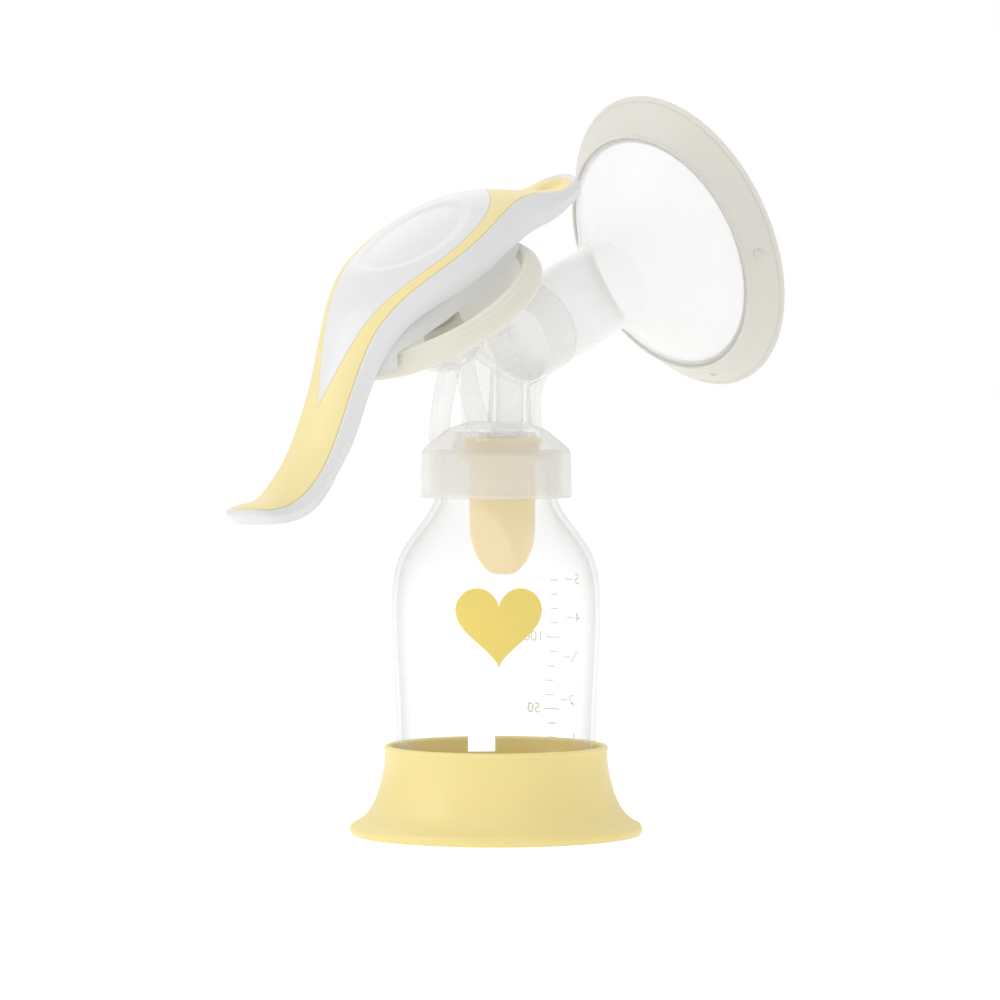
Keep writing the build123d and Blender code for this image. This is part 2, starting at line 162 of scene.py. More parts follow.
# ---------------------------------------------------------------- materials
MOTTLE_SCALE = 60.0
MOTTLE_DETAIL = 3.0
GRAIN_DETAIL = 2.0
GRAIN_DEPTH = 0.0005
SHINE_SPREAD = 0.1
LIGHT_REACH = 0.004
LIGHT_REACH_BY_COLOUR = (1.0, 0.8, 0.5)
CLEAR_IOR = 1.45
EVEN_BLEND = 0.5


def plastic(name, colour, roughness, grain=0.02, grain_size=900.0, vary=0.03, soft=0.0):
    """An opaque moulded plastic or rubber.

    grain and grain_size are the fine surface noise, vary is how far the colour is mottled, and
    soft is the share of the light that gets in and scatters.
    """
    material = bpy.data.materials.new(name)
    material.use_nodes = True
    nodes, links = material.node_tree.nodes, material.node_tree.links
    shader = nodes["Principled BSDF"]
    shader.inputs["Base Color"].default_value = (*colour, 1)
    shader.inputs["Roughness"].default_value = roughness
    if soft:
        shader.inputs["Subsurface Weight"].default_value = soft
        shader.inputs["Subsurface Scale"].default_value = LIGHT_REACH
        shader.inputs["Subsurface Radius"].default_value = LIGHT_REACH_BY_COLOUR
    if grain:
        place = nodes.new("ShaderNodeTexCoord")
        cloud = nodes.new("ShaderNodeTexNoise")
        cloud.inputs["Scale"].default_value = MOTTLE_SCALE
        cloud.inputs["Detail"].default_value = MOTTLE_DETAIL
        links.new(place.outputs["Object"], cloud.inputs["Vector"])
        tint = nodes.new("ShaderNodeMix")
        tint.data_type = "RGBA"
        tint.inputs["A"].default_value = (*[c * (1 - vary) for c in colour], 1)
        tint.inputs["B"].default_value = (*[min(1.0, c * (1 + vary)) for c in colour], 1)
        links.new(cloud.outputs["Fac"], tint.inputs["Factor"])
        links.new(tint.outputs["Result"], shader.inputs["Base Color"])
        speck = nodes.new("ShaderNodeTexNoise")
        speck.inputs["Scale"].default_value = grain_size
        speck.inputs["Detail"].default_value = GRAIN_DETAIL
        links.new(place.outputs["Object"], speck.inputs["Vector"])
        bump = nodes.new("ShaderNodeBump")
        bump.inputs["Strength"].default_value = grain
        bump.inputs["Distance"].default_value = GRAIN_DEPTH
        links.new(speck.outputs["Fac"], bump.inputs["Height"])
        links.new(bump.outputs["Normal"], shader.inputs["Normal"])
        shine = nodes.new("ShaderNodeMapRange")
        shine.inputs["To Min"].default_value = roughness * (1 - SHINE_SPREAD)
        shine.inputs["To Max"].default_value = min(1.0, roughness * (1 + SHINE_SPREAD))
        links.new(cloud.outputs["Fac"], shine.inputs["Value"])
        links.new(shine.outputs["Result"], shader.inputs["Roughness"])
    return material


def see_through(name, colour, roughness, face, edge, power=2.5, milk=None, soft=0.0):
    """Thin clear plastic, nearly invisible face on and denser at grazing angles.

    face and edge are its opacities and power bends the way from one to the other. milk clouds the
    lower part: the height up to which it is full, the height where it ends, and what it adds.
    """
    material = plastic(name, colour, roughness, grain=0.006, grain_size=300.0, vary=0.01, soft=soft)
    nodes, links = material.node_tree.nodes, material.node_tree.links
    shader = nodes["Principled BSDF"]
    shader.inputs["IOR"].default_value = CLEAR_IOR
    weight = nodes.new("ShaderNodeLayerWeight")
    weight.inputs["Blend"].default_value = EVEN_BLEND
    sharpen = nodes.new("ShaderNodeMath")
    sharpen.operation = "POWER"
    sharpen.inputs[1].default_value = power
    links.new(weight.outputs["Facing"], sharpen.inputs[0])
    cover = nodes.new("ShaderNodeMapRange")
    cover.inputs["To Min"].default_value = face
    cover.inputs["To Max"].default_value = edge
    links.new(sharpen.outputs["Value"], cover.inputs["Value"])
    links.new(cover.outputs["Result"], shader.inputs["Alpha"])
    if milk:
        low, high, amount = milk
        place = nodes.new("ShaderNodeTexCoord")
        split = nodes.new("ShaderNodeSeparateXYZ")
        links.new(place.outputs["Object"], split.inputs["Vector"])
        fade = nodes.new("ShaderNodeMapRange")
        fade.inputs["From Min"].default_value = low * MM
        fade.inputs["From Max"].default_value = high * MM
        fade.inputs["To Min"].default_value = amount
        fade.inputs["To Max"].default_value = 0.0
        links.new(split.outputs["Z"], fade.inputs["Value"])
        total = nodes.new("ShaderNodeMath")
        total.operation = "ADD"
        links.new(cover.outputs["Result"], total.inputs[0])
        links.new(fade.outputs["Result"], total.inputs[1])
        links.new(total.outputs["Value"], shader.inputs["Alpha"])
    return material


def painted_glow(material, colour):
    """Painted light: a faint constant glow of the material's own, which brightens the part where it lies in
    shade.
    """
    shader = material.node_tree.nodes["Principled BSDF"]
    shader.inputs["Emission Color"].default_value = (*colour, 1)
    shader.inputs["Emission Strength"].default_value = 1.0
    return material


def paint(node, material):
    """Gives a CAD piece its look."""
    frame["nodes"][node].material_slots[0].material = material


# ---------------------------------------------------------------- mesh helpers
MERGE_DISTANCE = 1e-6
SHORTEST_EDGE = 1e-7
EDGE_RADIUS = 0.3
EDGE_SEGMENTS = 3
SHARP_ANGLE = 50


def natural_spline(points, column=1):
    """A smooth function of the first value of each point, through the value in that column."""
    x = np.array([p[0] for p in points], float)
    y = np.array([p[column] for p in points], float)
    step = np.diff(x)
    system, target = np.eye(len(x)), np.zeros(len(x))
    for i in range(1, len(x) - 1):
        system[i, i - 1:i + 2] = step[i - 1], 2 * (step[i - 1] + step[i]), step[i]
        target[i] = 6 * ((y[i + 1] - y[i]) / step[i] - (y[i] - y[i - 1]) / step[i - 1])
    bend = np.linalg.solve(system, target)

    def value(at):
        at = np.asarray(at, float)
        i = np.clip(np.searchsorted(x, at) - 1, 0, len(x) - 2)
        width = x[i + 1] - x[i]
        a, b = (x[i + 1] - at) / width, (at - x[i]) / width
        curve = ((a ** 3 - a) * bend[i] + (b ** 3 - b) * bend[i + 1]) * width ** 2 / 6
        return a * y[i] + b * y[i + 1] + curve

    return value


def new_piece(name, vertices, faces, matrix, material, body, stands_for=()):
    """A smooth mesh piece from points in millimetres of its own frame.

    It rides on the body, if one is named, and stands for the CAD pieces named last.
    """
    mesh = bpy.data.meshes.new(name)
    mesh.from_pydata([matrix @ Vector(v) for v in vertices], [], faces)
    tool = bmesh.new()
    tool.from_mesh(mesh)
    bmesh.ops.remove_doubles(tool, verts=tool.verts, dist=MERGE_DISTANCE)
    bmesh.ops.dissolve_degenerate(tool, edges=tool.edges, dist=SHORTEST_EDGE)
    bmesh.ops.recalc_face_normals(tool, faces=tool.faces)
    tool.to_mesh(mesh)
    tool.free()
    mesh.shade_smooth()
    mesh.materials.append(material)
    piece = bpy.data.objects.new(name, mesh)
    bpy.context.collection.objects.link(piece)
    if body:
        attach(piece, body)
    if stands_for:
        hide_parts(*stands_for)
    return piece


def soften(piece):
    """Rounds the piece's sharp edges."""
    bevel = piece.modifiers.new("edge_radius", "BEVEL")
    bevel.width = EDGE_RADIUS * MM
    bevel.segments = EDGE_SEGMENTS
    bevel.limit_method = "ANGLE"
    bevel.angle_limit = math.radians(SHARP_ANGLE)
    bevel.harden_normals = True


def ring_faces(rows, columns, closed=True):
    """Quads of a grid of points; closed joins the last point of each row to its first."""
    faces = []
    last = columns if closed else columns - 1
    for i in range(rows - 1):
        here, above = i * columns, (i + 1) * columns
        for j in range(last):
            k = (j + 1) % columns
            faces.append((here + j, here + k, above + k, above + j))
    return faces


# ---------------------------------------------------------------- handle
# Stations along the handle, in the ring's frame: place, underside, upper edge, half width, crown.
HANDLE_STATIONS = (
    (-92.7, -5.8, -1.9, 6.6, 1.2),
    (-90.0, -7.4, -3.0, 7.6, 1.6),
    (-82.0, -12.0, -7.0, 8.2, 2.2),
    (-72.0, -13.5, -7.5, 9.0, 2.6),
    (-62.0, -10.5, -4.5, 9.0, 2.8),
    (-52.0, -6.5, 1.0, 9.0, 3.2),
    (-42.0, 0.0, 7.5, 9.4, 3.8),
    (-32.0, 6.5, 14.0, 11.2, 4.2),
    (-20.0, 11.0, 18.5, 15.5, 4.4),
    (-6.0, 11.0, 20.0, 21.0, 4.4),
    (8.0, 10.5, 20.0, 22.6, 4.3),
    (20.0, 9.5, 19.5, 20.6, 3.9),
    (32.0, 7.0, 17.5, 17.4, 2.9),
    (42.0, 3.6, 12.8, 14.3, 1.2),
    (51.0, 1.4, 7.5, 11.0, 0.4),
    (58.0, 0.3, 5.1, 8.6, 0.2),
    (65.2, -0.2, 4.8, 6.4, 0.2),
)
HANDLE_START = -92.9
HANDLE_END = 65.3
TIP_ROUNDING = 5.5
TIP_THICKNESS = 0.75
SHELL_STATIONS = 190
SHELL_LIP = 0.35
SHELL_LIP_WIDTH = 0.9
SHELL_LIP_ANGLES = (0, 0.8, 1.57)
SHELL_LOWER_RADIUS = 1.3
SHELL_LOWER_SHARE = 0.3
SHELL_BULGE = 0.8
SHELL_HOLLOW_UNDER = 1.1
SEAT_EDGE = 1.2
SEAT_DEPTH = 0.3
SEAT_CLEARANCE = 1.1
GRIP_INSET = 2.2
GRIP_EDGE = 0.75
GRIP_NARROWEST = 0.76
GRIP_ROUNDING = 4.0
GRIP_LEAST_REACH = 0.02
GRIP_THICKNESS = 1.4
GRIP_COLUMNS = 16
GRIP_ARM_STATIONS = 60
GRIP_PETAL_STATIONS = 130
COVER_INSET = 0.1
COVER_PROUD = 0.05
COVER_THICKNESS = 1.8
COVER_STATIONS = 240
COVER_COLUMNS = 101
SEAM_GAP = 0.08
# Outline of the petal: place along the handle and half width.
PETAL = (
    (-51.5, 0.0), (-40.0, 4.2), (-25.0, 9.8), (-5.0, 17.7),
    (6.0, 18.8), (16.0, 17.0), (27.0, 10.5), (35.5, 0.0),
)
PETAL_START = PETAL[0][0]
PETAL_END = PETAL[-1][0]
# Ovals have a half length and a half width.
TIP_HOLLOW_PLACE = 57.0
TIP_HOLLOW_OVAL = (5.2, 4.4)
TIP_HOLLOW_DEPTH = 1.7
TIP_HOLLOW_STEEPNESS = 1.35
DISH_PLACE = 4.3
DISH_EDGE_OVAL = (18.8, 17.3)
DISH_FLOOR_OVAL = (15.6, 12.2)
DISH_DEPTH = 0.8


def bunched(start, end, count):
    """Places from start to end, closer together at both ends."""
    return start + (end - start) * (1 - np.cos(np.linspace(0, math.pi, count))) / 2


class HandleShape:
    """The handle's smooth shape, sampled at the given places along it."""

    def __init__(self, places):
        self.e = places
        low, high, half, crown = [natural_spline(HANDLE_STATIONS, k) for k in (1, 2, 3, 4)]
        start = np.clip((HANDLE_START + TIP_ROUNDING - places) / TIP_ROUNDING, 0, 1)
        end = np.clip((places - HANDLE_END + TIP_ROUNDING) / TIP_ROUNDING, 0, 1)
        round_off = np.sqrt(np.clip(1 - start ** 2, 0, 1) * np.clip(1 - end ** 2, 0, 1))
        thick = TIP_THICKNESS + (1 - TIP_THICKNESS) * round_off
        middle = 0.5 * (low(places) + high(places))
        self.high = middle + (high(places) - middle) * thick
        self.low = middle + (low(places) - middle) * thick
        self.half = half(places) * round_off
        self.crown = crown(places) * round_off

    def top(self, share):
        """Height of the crowned top at a share of the half width."""
        return self.high[:, None] + self.crown[:, None] * (1 - share ** 2)


def smooth_step(t):
    t = np.clip(t, 0, 1)
    return t * t * (3 - 2 * t)


def oval_share(e, y, place, oval):
    """Distance from the middle of an oval, as a share of the oval's radius that way."""
    return np.sqrt(((e - place) / oval[0]) ** 2 + (y / oval[1]) ** 2)


def tip_hollow(e, y):
    """Depth of the scooped hollow near the short arm's tip, with its raised rim left standing."""
    distance = oval_share(e, y, TIP_HOLLOW_PLACE, TIP_HOLLOW_OVAL)
    return TIP_HOLLOW_DEPTH * smooth_step(TIP_HOLLOW_STEEPNESS * (1 - distance))


def thumb_dish(e, y):
    """Depth of the shallow oval dish in the petal: a soft wall between two ovals, and a level floor."""
    outside = oval_share(e, y, DISH_PLACE, DISH_EDGE_OVAL)
    inside = oval_share(e, y, DISH_PLACE, DISH_FLOOR_OVAL)
    across = (1 - outside) / np.maximum((1 - outside) + np.maximum(inside - 1, 0), 1e-6)
    return DISH_DEPTH * smooth_step(np.where(outside >= 1, 0, across))


def shell_outline(e, low, high, half, crown):
    """Half a cross section of the shell, from the middle of its top round to the middle of its underside."""
    across = np.linspace(0.03, 1, 24)
    side = np.linspace(0, 1, 9)[1:]
    corner = np.linspace(0, math.pi / 2, 6)[1:]
    under = np.linspace(1, 0, 9)[1:]
    depth = high - low
    radius = min(SHELL_LOWER_RADIUS, SHELL_LOWER_SHARE * depth)
    lip = SHELL_LIP
    seat = max(half - SEAT_EDGE, 0.02) * across
    floor = high + crown * (1 - (seat / max(half, 0.03)) ** 2) - SEAT_DEPTH
    floor -= SEAT_CLEARANCE * (thumb_dish(e, seat) + tip_hollow(e, seat))
    outline = list(zip(seat, floor)) + [(half - SHELL_LIP_WIDTH, high - lip * 0.2)]
    outline += [(half - lip + lip * math.sin(a), high - lip + lip * math.cos(a)) for a in SHELL_LIP_ANGLES]
    outline += [
        (half + SHELL_BULGE * math.sin(math.pi * s), high - lip - s * (depth - lip - radius)) for s in side
    ]
    outline += [
        (half - radius + radius * math.cos(a), low + radius - radius * math.sin(a)) for a in corner
    ]
    reach = half - radius
    return outline + [(reach * s, low + SHELL_HOLLOW_UNDER * (1 - s ** 2)) for s in under]


def make_handle_shell():
    """The white lower shell, with a seat in its top for the cover and the grip."""
    shape = HandleShape(bunched(HANDLE_START, HANDLE_END, SHELL_STATIONS))
    rows = []
    for e, low, high, half, crown in zip(shape.e, shape.low, shape.high, shape.half, shape.crown):
        right = [(e, max(y, 0.0), h) for y, h in shell_outline(e, low, high, half, crown)]
        left = [(e, -y, h) for e, y, h in reversed(right)]
        rows.append(right + left)
    columns = len(rows[0])
    vertices = [p for row in rows for p in row]
    faces = ring_faces(len(rows), columns)
    faces += [tuple(range(columns)), tuple(range(len(vertices) - columns, len(vertices)))]
    new_piece("handle_shell_moulding", vertices, faces, RING_FRAME, WHITE,
              "handle", ["handle_shell"])


def skin_points(places, y, h, thickness):
    """The points of a skin's top, row by row, and then those of its underside."""
    top = [(e, side, up) for e, sides, ups in zip(places, y, h) for side, up in zip(sides, ups)]
    return top + [(e, side, up - thickness) for e, side, up in top]


def petal_share(places, half):
    """Half width of the petal as a share of the handle's half width, and none past the petal's ends."""
    inside = (places > PETAL_START) & (places < PETAL_END)
    petal = np.maximum(natural_spline(PETAL)(places), 0)
    return np.where(inside, petal / np.maximum(half, 0.1), 0.0)


def make_handle_grip():
    """The yellow overlay: one skin that runs round the petal, in two strips that meet past its ends."""
    first, last = HANDLE_START + GRIP_INSET, HANDLE_END - GRIP_INSET
    places = np.unique(np.concatenate([
        bunched(first, PETAL_START, GRIP_ARM_STATIONS),
        bunched(PETAL_START, PETAL_END, GRIP_PETAL_STATIONS),
        bunched(PETAL_END, last, GRIP_ARM_STATIONS),
    ]))
    shape = HandleShape(places)
    inner = petal_share(places, shape.half)
    ends = np.clip(np.minimum(places - first, last - places) / GRIP_ROUNDING, 0, 1)
    reach = np.maximum(np.sqrt(np.clip(1 - (1 - ends) ** 2, 0, 1)), GRIP_LEAST_REACH)
    outer = np.clip(1 - GRIP_EDGE / np.maximum(shape.half, GRIP_NARROWEST), 0, 1) * reach
    gap = np.where(inner > 0, SEAM_GAP / np.maximum(shape.half, 0.1), 0)
    strip = GRIP_COLUMNS
    right = (inner + gap)[:, None] + (outer - inner - gap)[:, None] * np.linspace(0, 1, strip)
    share = np.concatenate([-right[:, ::-1], right], axis=1)
    y = share * shape.half[:, None]
    h = shape.top(share) - tip_hollow(places[:, None], y)
    count, columns = share.shape
    vertices = skin_points(places, y, h, GRIP_THICKNESS)
    shift = count * columns
    faces = []
    for i in range(count - 1):
        for j in range(columns - 1):
            if j == strip - 1:
                continue
            a, b = i * columns + j, (i + 1) * columns + j
            faces += [(a, a + 1, b + 1, b), (shift + b, shift + b + 1, shift + a + 1, shift + a)]
        for j in (0, columns - 1, strip - 1, strip):
            if j in (strip - 1, strip) and inner[i] == 0 and inner[i + 1] == 0:
                continue
            a, b = i * columns + j, (i + 1) * columns + j
            faces.append((a, b, shift + b, shift + a))
    for i in (0, count - 1):
        for j in range(columns - 1):
            if j != strip - 1:
                a = i * columns + j
                faces.append((a, a + 1, shift + a + 1, shift + a))
    piece = new_piece("handle_grip_skin", vertices, faces, RING_FRAME, YELLOW_GRIP,
                      "handle", ["handle_grip"])
    soften(piece)


def make_handle_cover():
    """The white petal with its dish, a skin that fills the grip's opening."""
    places = bunched(PETAL_START + COVER_INSET, PETAL_END - COVER_INSET, COVER_STATIONS)
    shape = HandleShape(places)
    share = petal_share(places, shape.half)[:, None] * np.linspace(-1, 1, COVER_COLUMNS)
    y = share * shape.half[:, None]
    h = shape.top(share) + COVER_PROUD - thumb_dish(places[:, None], y)
    count, columns = share.shape
    vertices = skin_points(places, y, h, COVER_THICKNESS)
    shift = count * columns
    faces = ring_faces(count, columns, closed=False)
    faces += [tuple(shift + v for v in reversed(face)) for face in faces]
    for i in range(count - 1):
        for j in (0, columns - 1):
            a, b = i * columns + j, (i + 1) * columns + j
            faces.append((a, b, shift + b, shift + a))
    piece = new_piece("handle_petal_cover", vertices, faces, RING_FRAME, WHITE,
                      "handle", ["handle_top_cover"])
    soften(piece)


# ---------------------------------------------------------------- lathed pieces
def curve_value(a, b, c, d, t):
    """The value at a share t of the way from b to c, on the curve through four values in a row."""
    bend = 2 * a - 5 * b + 4 * c - d
    twist = 3 * b - a - 3 * c + d
    return 0.5 * (2 * b + (c - a) * t + bend * t ** 2 + twist * t ** 3)


def flowing(points, per=5):
    """A smooth line through points, as a list of samples; a corner is a point given twice."""
    samples = []
    for run in split_at_corners(points):
        if len(run) < 3:
            samples += run[:-1]
            continue
        ends = [tuple(2 * a - b for a, b in zip(run[0], run[1]))] + run
        ends.append(tuple(2 * a - b for a, b in zip(run[-1], run[-2])))
        for p0, p1, p2, p3 in zip(ends, ends[1:], ends[2:], ends[3:]):
            for k in range(per):
                samples.append(tuple(curve_value(*values, k / per) for values in zip(p0, p1, p2, p3)))
    samples.append(points[-1])
    return samples


def split_at_corners(points):
    """Runs of points between the corners, which are given twice."""
    runs, run = [], [points[0]]
    for before, point in zip(points, points[1:]):
        if point == before:
            runs.append(run)
            run = [point]
        else:
            run.append(point)
    return runs + [run]


def lathe(name, profile, matrix, material, body, stands_for=(), around=160, closed=True):
    """Spins a line of (radius, height) points, or of (half width, half height, depth) for an oval.

    closed joins the line's end to its start; an open line starts on the axis and leaves its end open.
    """
    angles = [2 * math.pi * k / around for k in range(around)]
    vertices = []
    for point in profile:
        across, along, depth = point if len(point) == 3 else (point[0], point[0], point[1])
        vertices += [(across * math.cos(a), along * math.sin(a), depth) for a in angles]
    faces = ring_faces(len(profile), around)
    if closed:
        start = (len(profile) - 1) * around
        faces += [(start + j, start + (j + 1) % around, (j + 1) % around, j) for j in range(around)]
    return new_piece(name, vertices, faces, matrix, material, body, stands_for)


# Lines of (radius, height) points in the ring's frame, with corners given twice.
RING_BEAD = (
    (29.85, -0.6), (29.85, -0.6), (31.0, -0.6), (31.9, -0.3), (32.3, 0.6), (32.35, 1.6), (32.2, 2.7),
    (31.75, 3.55), (31.35, 4.0), (31.35, 4.0), (31.15, 4.5), (30.8, 4.95), (30.4, 5.15), (30.4, 5.15),
    (30.2, 5.6), (29.9, 6.0), (29.5, 6.22), (29.1, 6.3), (28.7, 6.2), (28.35, 5.8), (27.9, 5.0),
    (27.5, 4.2), (27.2, 3.6), (27.2, 3.6), (26.95, 2.4), (26.95, 2.4),
    (27.9, 3.3), (27.9, 3.3), (27.9, 4.3), (27.9, 4.3), (29.85, 4.3), (29.85, 4.3),
)
MEMBRANE = (
    (27.18, 3.56), (26.5, 2.5), (24.8, 1.2), (22.0, -0.6), (18.0, -2.75), (14.0, -4.8), (10.0, -6.6),
    (6.02, -7.4), (6.02, -7.4), (6.02, -8.5), (6.02, -8.5), (9.0, -8.2), (14.0, -5.85), (18.0, -3.9),
    (22.6, -1.55), (25.2, 0.7), (26.98, 2.45), (26.98, 2.45),
)
HUB = (
    (3.3, -8.7), (3.3, -8.7), (3.3, -2.3), (3.3, -2.3), (3.6, -2.0), (5.4, -2.0), (5.9, -2.3), (6.0, -3.0),
    (6.0, -8.7), (6.0, -8.7),
)


TAB_LINE = (
    (0.01, 2.6), (1.1, 2.45), (1.9, 1.9), (2.15, 1.1), (1.75, 0.3), (1.9, -0.6), (2.3, -1.6), (2.3, -3.0),
)
TAB_PLACE = (31.0, 0, 2.4)
TAB_TILT = 62
SEAL = (
    (3.25, -5.5), (3.1, -5.62), (2.78, -5.62), (2.4, -6.0), (2.78, -6.38), (3.1, -6.38), (3.25, -6.5),
    (3.3, -6.0),
)


def make_diaphragm():
    """The bead with its pull tab, the hub on the stem, and the membrane that stretches between them."""
    lathe("diaphragm_bead", flowing(RING_BEAD), RING_FRAME, SILICONE, "diaphragm", ["diaphragm"])
    web = lathe(
        "diaphragm_membrane", flowing(MEMBRANE), RING_FRAME, SILICONE_WEB, None, ["diaphragm"]
    )
    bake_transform(web)
    lathe("diaphragm_hub", flowing(HUB), RING_FRAME, SILICONE, "stem", around=64)
    tilt = Matrix.Rotation(math.radians(TAB_TILT), 4, "Y")
    lathe(
        "diaphragm_pull_tab", flowing(TAB_LINE), RING_FRAME @ Matrix.Translation(TAB_PLACE) @ tilt,
        SILICONE, "diaphragm", around=48, closed=False,
    )


def make_seal():
    lathe(
        "stem_seal_ring", flowing(SEAL), RING_FRAME, SEAL_RUBBER,
        "stem", ["stem_seal"], around=64,
    )


# ---------------------------------------------------------------- soft rim of the shield
# Half width and half height of the funnel's mouth and of the rim's lip.
MOUTH = (31.8, 35.9)
LIP = (37.3, 44.5)
# The rim's section: share of the way from mouth to lip, growth outwards, depth along the port's axis.
RIM_SECTION = (
    (0.0, 0.05, 52.9), (0.0, 0.05, 52.9), (0.0, 0.4, 52.85), (0.0, 0.62, 53.05), (0.015, 0.62, 53.5),
    (0.05, 0.5, 53.9), (0.1, 0.5, 54.3), (0.25, 0.52, 55.7), (0.5, 0.56, 57.8), (0.75, 0.62, 60.0),
    (0.865, 0.62, 61.0), (0.865, 0.62, 61.0), (0.885, 0.38, 61.2), (0.9, 0.72, 61.35), (0.93, 0.95, 61.6),
    (0.97, 1.05, 61.95), (1.0, 0.8, 62.25), (1.0, 0.0, 62.3), (0.985, -0.8, 62.15), (0.95, -1.3, 61.7),
    (0.75, -1.45, 59.9), (0.5, -1.5, 57.9), (0.25, -1.55, 55.9), (0.06, -1.6, 54.25), (0.0, -1.6, 53.82),
    (0.0, -1.6, 53.82), (0.0, 0.05, 53.82), (0.0, 0.05, 53.82),
)


NUB_LINE = ((0.01, 1.5), (0.8, 1.35), (1.25, 0.9), (1.35, 0.2), (1.35, -0.9))
# Moulding nubs on the rim: name, place across and along, depth, size.
NUBS = (
    ("shield_rim_nub", (-34.2, -2.0), 57.4, 1.0),
    ("shield_rim_low_nub", (-3.0, -40.1), 57.8, 0.6),
)
NUB_LEAN_OUT = 0.72
NUB_LEAN_BACK = -0.69


def make_rim():
    """The soft oval flange round the funnel's mouth, with its two small nubs."""
    profile = [
        (MOUTH[0] + (LIP[0] - MOUTH[0]) * share + grow, MOUTH[1] + (LIP[1] - MOUTH[1]) * share + grow, depth)
        for share, grow, depth in flowing(RIM_SECTION)
    ]
    lathe(
        "shield_soft_rim", profile, PORT_FRAME, RIM_SILICONE, "shield", ["soft_rim"], around=240
    )
    for name, (across, along), depth, size in NUBS:
        outward = Vector((across / LIP[0] ** 2, along / LIP[1] ** 2, 0)).normalized()
        lean = outward * NUB_LEAN_OUT + Vector((0, 0, NUB_LEAN_BACK))
        turn = lean.to_track_quat("Z", "Y").to_matrix().to_4x4()
        matrix = PORT_FRAME @ Matrix.Translation((across, along, depth)) @ turn @ Matrix.Scale(size, 4)
        lathe(name, flowing(NUB_LINE), matrix, RIM_SILICONE, "shield", around=40, closed=False)


# ---------------------------------------------------------------- valve under the cap
VALVE_X = 2.5
VALVE_AROUND = 96
VALVE_LINE = (
    (0.02, 73.1), (2.4, 73.1), (4.4, 73.7), (6.0, 75.0), (7.4, 77.0), (8.5, 80.0), (9.15, 84.0), (9.3, 88.0),
    (9.3, 94.4), (9.3, 94.4), (9.35, 94.8), (9.8, 95.1), (9.8, 95.6), (9.4, 96.0), (9.4, 96.0), (9.4, 104.2),
    (9.9, 104.8), (11.6, 105.1), (12.7, 105.4), (12.9, 106.0), (12.6, 106.6), (11.4, 106.9), (10.2, 107.2),
    (9.9, 108.2), (9.9, 109.4), (10.4, 110.0), (11.0, 110.3), (11.2, 110.9), (10.9, 111.5), (10.2, 111.7),
    (10.2, 111.7), (7.1, 111.7), (7.1, 111.7), (7.1, 97.7), (7.1, 97.7), (0.02, 97.7),
)
# The slanting faces: height and place across, at the bill's end and where each face ends.
VALVE_LEFT = ((73.0, -0.7), (92.0, -9.4))
VALVE_RIGHT = ((73.0, 0.7), (88.5, 9.4))


def make_valve():
    """A collar and tube whose lower end is pressed into a wedge between two slanting faces."""
    vertices = []
    profile = flowing(VALVE_LINE)
    for radius, z in profile:
        left = np.interp(z, *zip(*VALVE_LEFT)) if z <= VALVE_LEFT[1][0] else -radius
        right = np.interp(z, *zip(*VALVE_RIGHT)) if z < VALVE_RIGHT[1][0] else radius
        for k in range(VALVE_AROUND):
            angle = 2 * math.pi * k / VALVE_AROUND
            x = min(max(radius * math.cos(angle), left), right)
            vertices.append((VALVE_X + x, radius * math.sin(angle), z))
    faces = ring_faces(len(profile), VALVE_AROUND)
    new_piece("valve_duckbill", vertices, faces, ROW_FRAME, SOFT_VALVE, "bottle", ["valve"])


# ---------------------------------------------------------------- marks on the bottle
BOTTLE_STEP = 1.5
PRINT_CELL = 0.8
PRINT_LIFT = 0.02
PRINT_THICKNESS = 0.1
HEART_POINTS = 64
HEART_SIZE = 12.3
# Places on the bottle are an angle in degrees and a height in millimetres.
HEART_PLACE = (-133.5, 61.5)
LINE_WIDTH = 0.35
NUMERAL_SIZE = 4.2
TICK_COUNT = 14
TICK_ANGLE = 10.7
TICK_START = 17.0
TICK_STEP = 4.1
TICK_LENGTH = 2.6
LONG_TICK_LENGTH = 5.0
LONG_TICK_EVERY = 5
TICK_NUMERALS = (("50", 22.5, 33.4), ("100", 23.5, 53.9))
SECOND_SCALE = (("1", 25.1), ("2", 36.3), ("3", 48.5), ("4", 59.7), ("5", 70.7))
SECOND_NUMERAL_ANGLE = -6.8
SECOND_TICK_ANGLE = -0.5
SECOND_TICK_LENGTH = 3.0


def bottle_line():
    """The bottle's outer radius in millimetres at a height, read from its node in the frame."""
    mesh = frame["nodes"]["bottle"].data
    widest = {}
    for vertex in mesh.vertices:
        key = round(vertex.co.z / MM / BOTTLE_STEP)
        widest[key] = max(widest.get(key, 0.0), math.hypot(vertex.co.x, vertex.co.y) / MM)
    keys = sorted(widest)
    return lambda z: float(np.interp(z / BOTTLE_STEP, keys, [widest[k] for k in keys]))


BOTTLE_LINE = bottle_line()


def flat_shape(points):
    """A flat filled outline in millimetres."""
    mesh = bmesh.new()
    mesh.faces.new([mesh.verts.new((x, z, 0)) for x, z in points])
    return mesh


def flat_text(words, size):
    """Flat filled numerals in millimetres, centred."""
    curve = bpy.data.curves.new("numerals", "FONT")
    curve.body = words
    curve.size = size
    curve.align_x = "CENTER"
    curve.align_y = "CENTER"
    holder = bpy.data.objects.new("numerals", curve)
    mesh = bmesh.new()
    bpy.context.collection.objects.link(holder)
    flat = bpy.data.meshes.new_from_object(holder.evaluated_get(bpy.context.evaluated_depsgraph_get()))
    mesh.from_mesh(flat)
    bpy.data.objects.remove(holder)
    bpy.data.curves.remove(curve)
    bpy.data.meshes.remove(flat)
    return mesh


